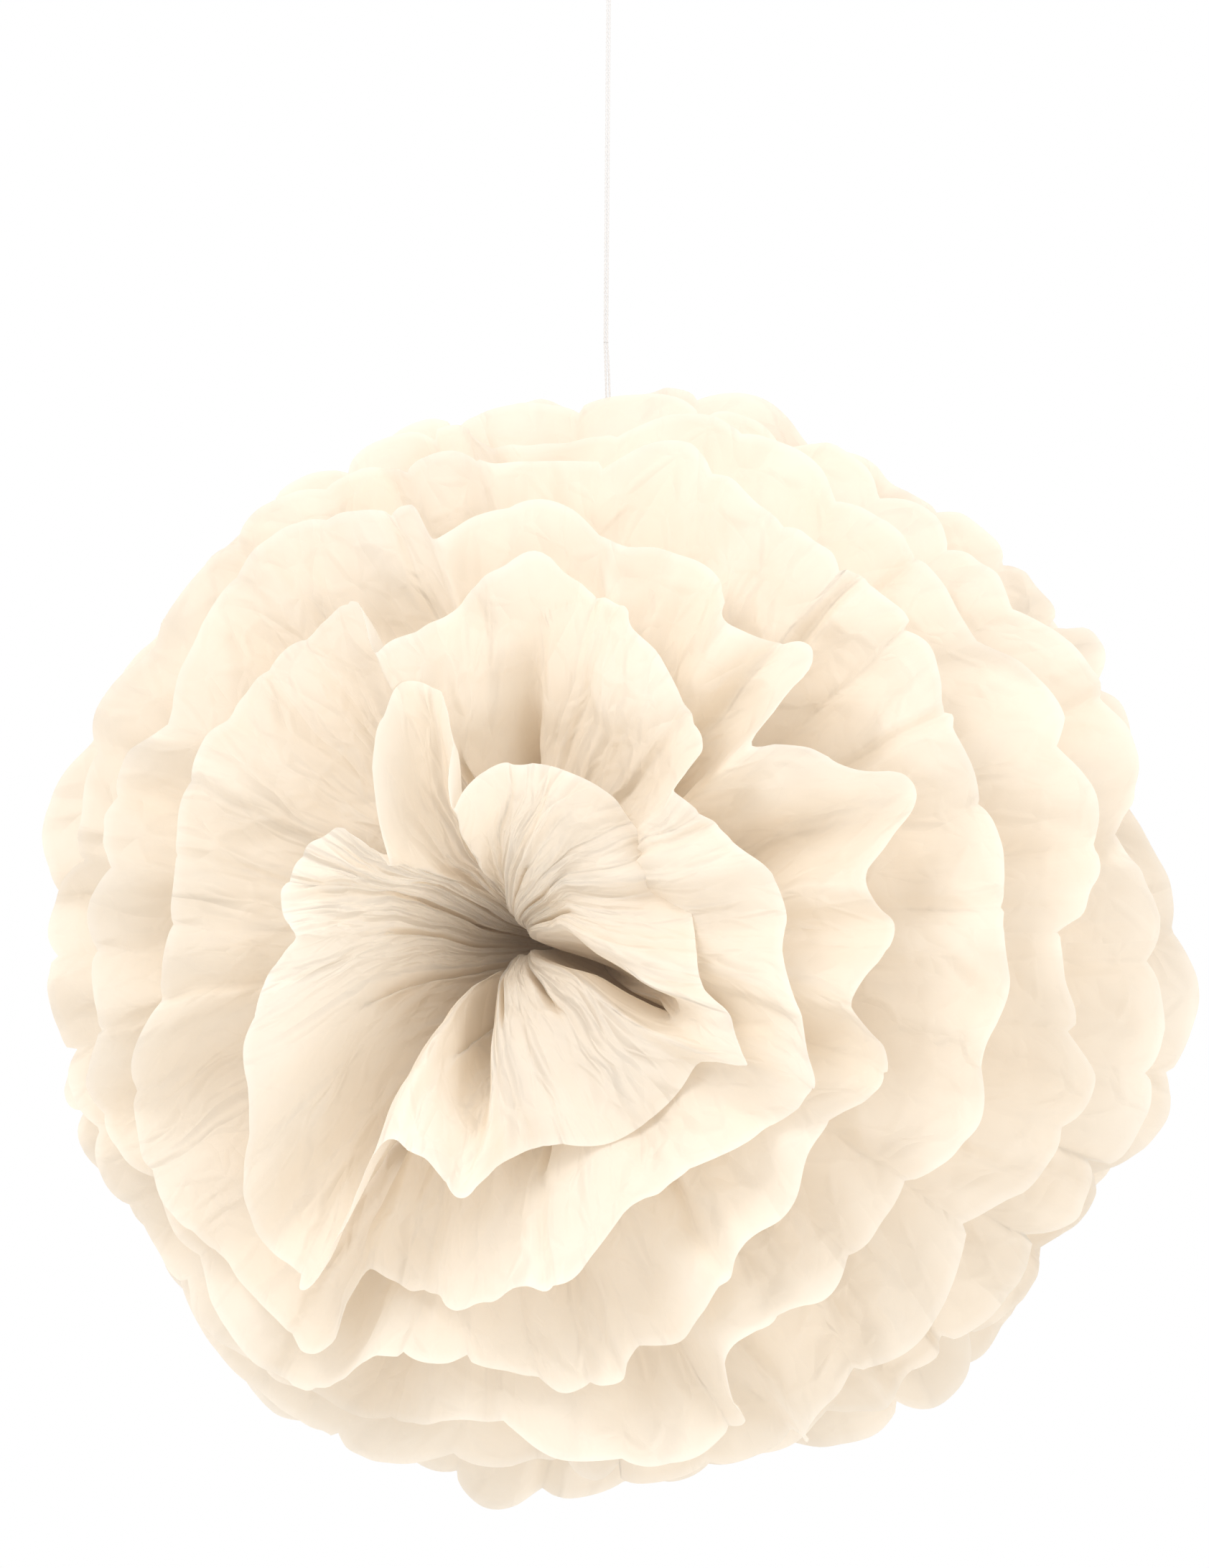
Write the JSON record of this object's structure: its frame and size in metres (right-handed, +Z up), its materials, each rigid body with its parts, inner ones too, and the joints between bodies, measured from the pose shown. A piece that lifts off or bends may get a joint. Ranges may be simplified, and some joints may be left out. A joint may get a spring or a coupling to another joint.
{
  "type": "hanging tissue paper flower ball",
  "caption": "Round flower-like hanging ball of fan-folded tissue paper sheets tied in the middle with wire, hung on a doubled thread that ends in a loop.",
  "frame": {"origin": "where the hanging loop bears on its hook, at the inner top of the loop", "axes": "+Z up along the hanging thread; the front flower faces -Y, turned 12 degrees towards -X"},
  "size_m": [0.3992, 0.3944, 0.5577],
  "materials": {
    "tissue_paper": "matte",
    "tie_wire": "satin",
    "thread": "satin"
  },
  "bodies": {
    "hanger": {"hanging_loop": "thread"},
    "knot": {"thread_knot": "thread"},
    "thread": {"upper_strand_left": "thread", "upper_strand_right": "thread"},
    "ball": {"front_sheet_1": "tissue_paper", "front_sheet_2": "tissue_paper", "front_sheet_3": "tissue_paper", "front_sheet_4": "tissue_paper", "front_sheet_5": "tissue_paper", "front_sheet_6": "tissue_paper", "back_sheet_1": "tissue_paper", "back_sheet_2": "tissue_paper", "back_sheet_3": "tissue_paper", "back_sheet_4": "tissue_paper", "back_sheet_5": "tissue_paper", "back_sheet_6": "tissue_paper", "wire_tie": "tie_wire", "thread_hitch": "thread", "lower_strand_left": "thread", "lower_strand_right": "thread"}
  },
  "joints": [
    {"name": "swing_sideways", "type": "hinge", "parent": "hanger", "child": "knot", "pos_m": [0, 0, -0.016], "axis": [0, 1, 0], "range_deg": [-45, 45]},
    {"name": "swing_forward", "type": "hinge", "parent": "knot", "child": "thread", "pos_m": [0, 0, -0.016], "axis": [1, 0, 0], "range_deg": [-45, 45]},
    {"name": "turn", "type": "hinge", "parent": "thread", "child": "ball", "pos_m": [-0.001, 0, -0.148], "axis": [0, 0, 1], "continuous": true}
  ]
}
